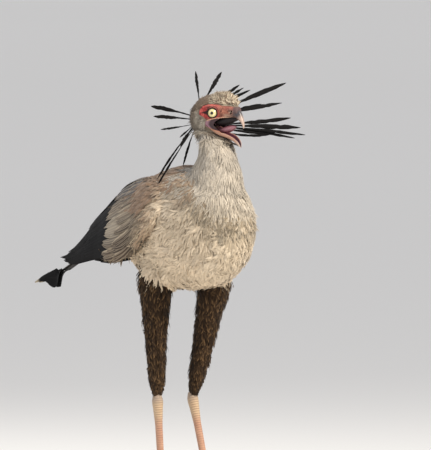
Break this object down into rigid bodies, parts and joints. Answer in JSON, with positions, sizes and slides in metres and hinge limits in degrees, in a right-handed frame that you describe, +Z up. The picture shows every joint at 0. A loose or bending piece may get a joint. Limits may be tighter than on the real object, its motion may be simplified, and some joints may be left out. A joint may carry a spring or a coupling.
{
  "type": "secretary bird",
  "caption": "Standing long-legged bird of prey with a raised crest, an open hooked bill and folded wings, as a still museum model.",
  "frame": {"origin": "middle of the bird's box, at the floor between and behind its feet", "axes": "+Z up, the bird faces -Y, +X towards its left side"},
  "size_m": [0.4151, 0.8001, 1.121],
  "materials": {
    "pale_feather": "soft pale grey-buff body feathers",
    "wing_feather": "grey coverts with pale shafts and black flight feathers",
    "dark_feather": "black feathers with a brown tinge",
    "face": "bare orange-red face skin with pale feathers behind",
    "eye": "wet cream-yellow iris and black pupil",
    "bill": "smooth horn, grey at the base and pale at the tip",
    "leg_skin": "scaled pinkish-buff leg skin",
    "mouth": "moist mauve-pink mouth lining and tongue",
    "claw": "smooth dark horn"
  },
  "bodies": {
    "root": {"torso": "pale_feather", "neck": "pale_feather", "head": "face", "eye_left": "eye", "eye_right": "eye", "bill_upper": "bill", "bill_lower": "bill", "tongue": "mouth", "wing_left": "wing_feather", "wing_right": "wing_feather", "tail": "dark_feather", "thigh_left": "dark_feather", "thigh_right": "dark_feather", "tarsus_left": "leg_skin", "tarsus_right": "leg_skin", "foot_left": "leg_skin", "foot_right": "leg_skin", "claw_left_inner": "claw", "claw_left_middle": "claw", "claw_left_outer": "claw", "claw_left_hind": "claw", "claw_right_inner": "claw", "claw_right_middle": "claw", "claw_right_outer": "claw", "claw_right_hind": "claw"}
  },
  "joints": []
}
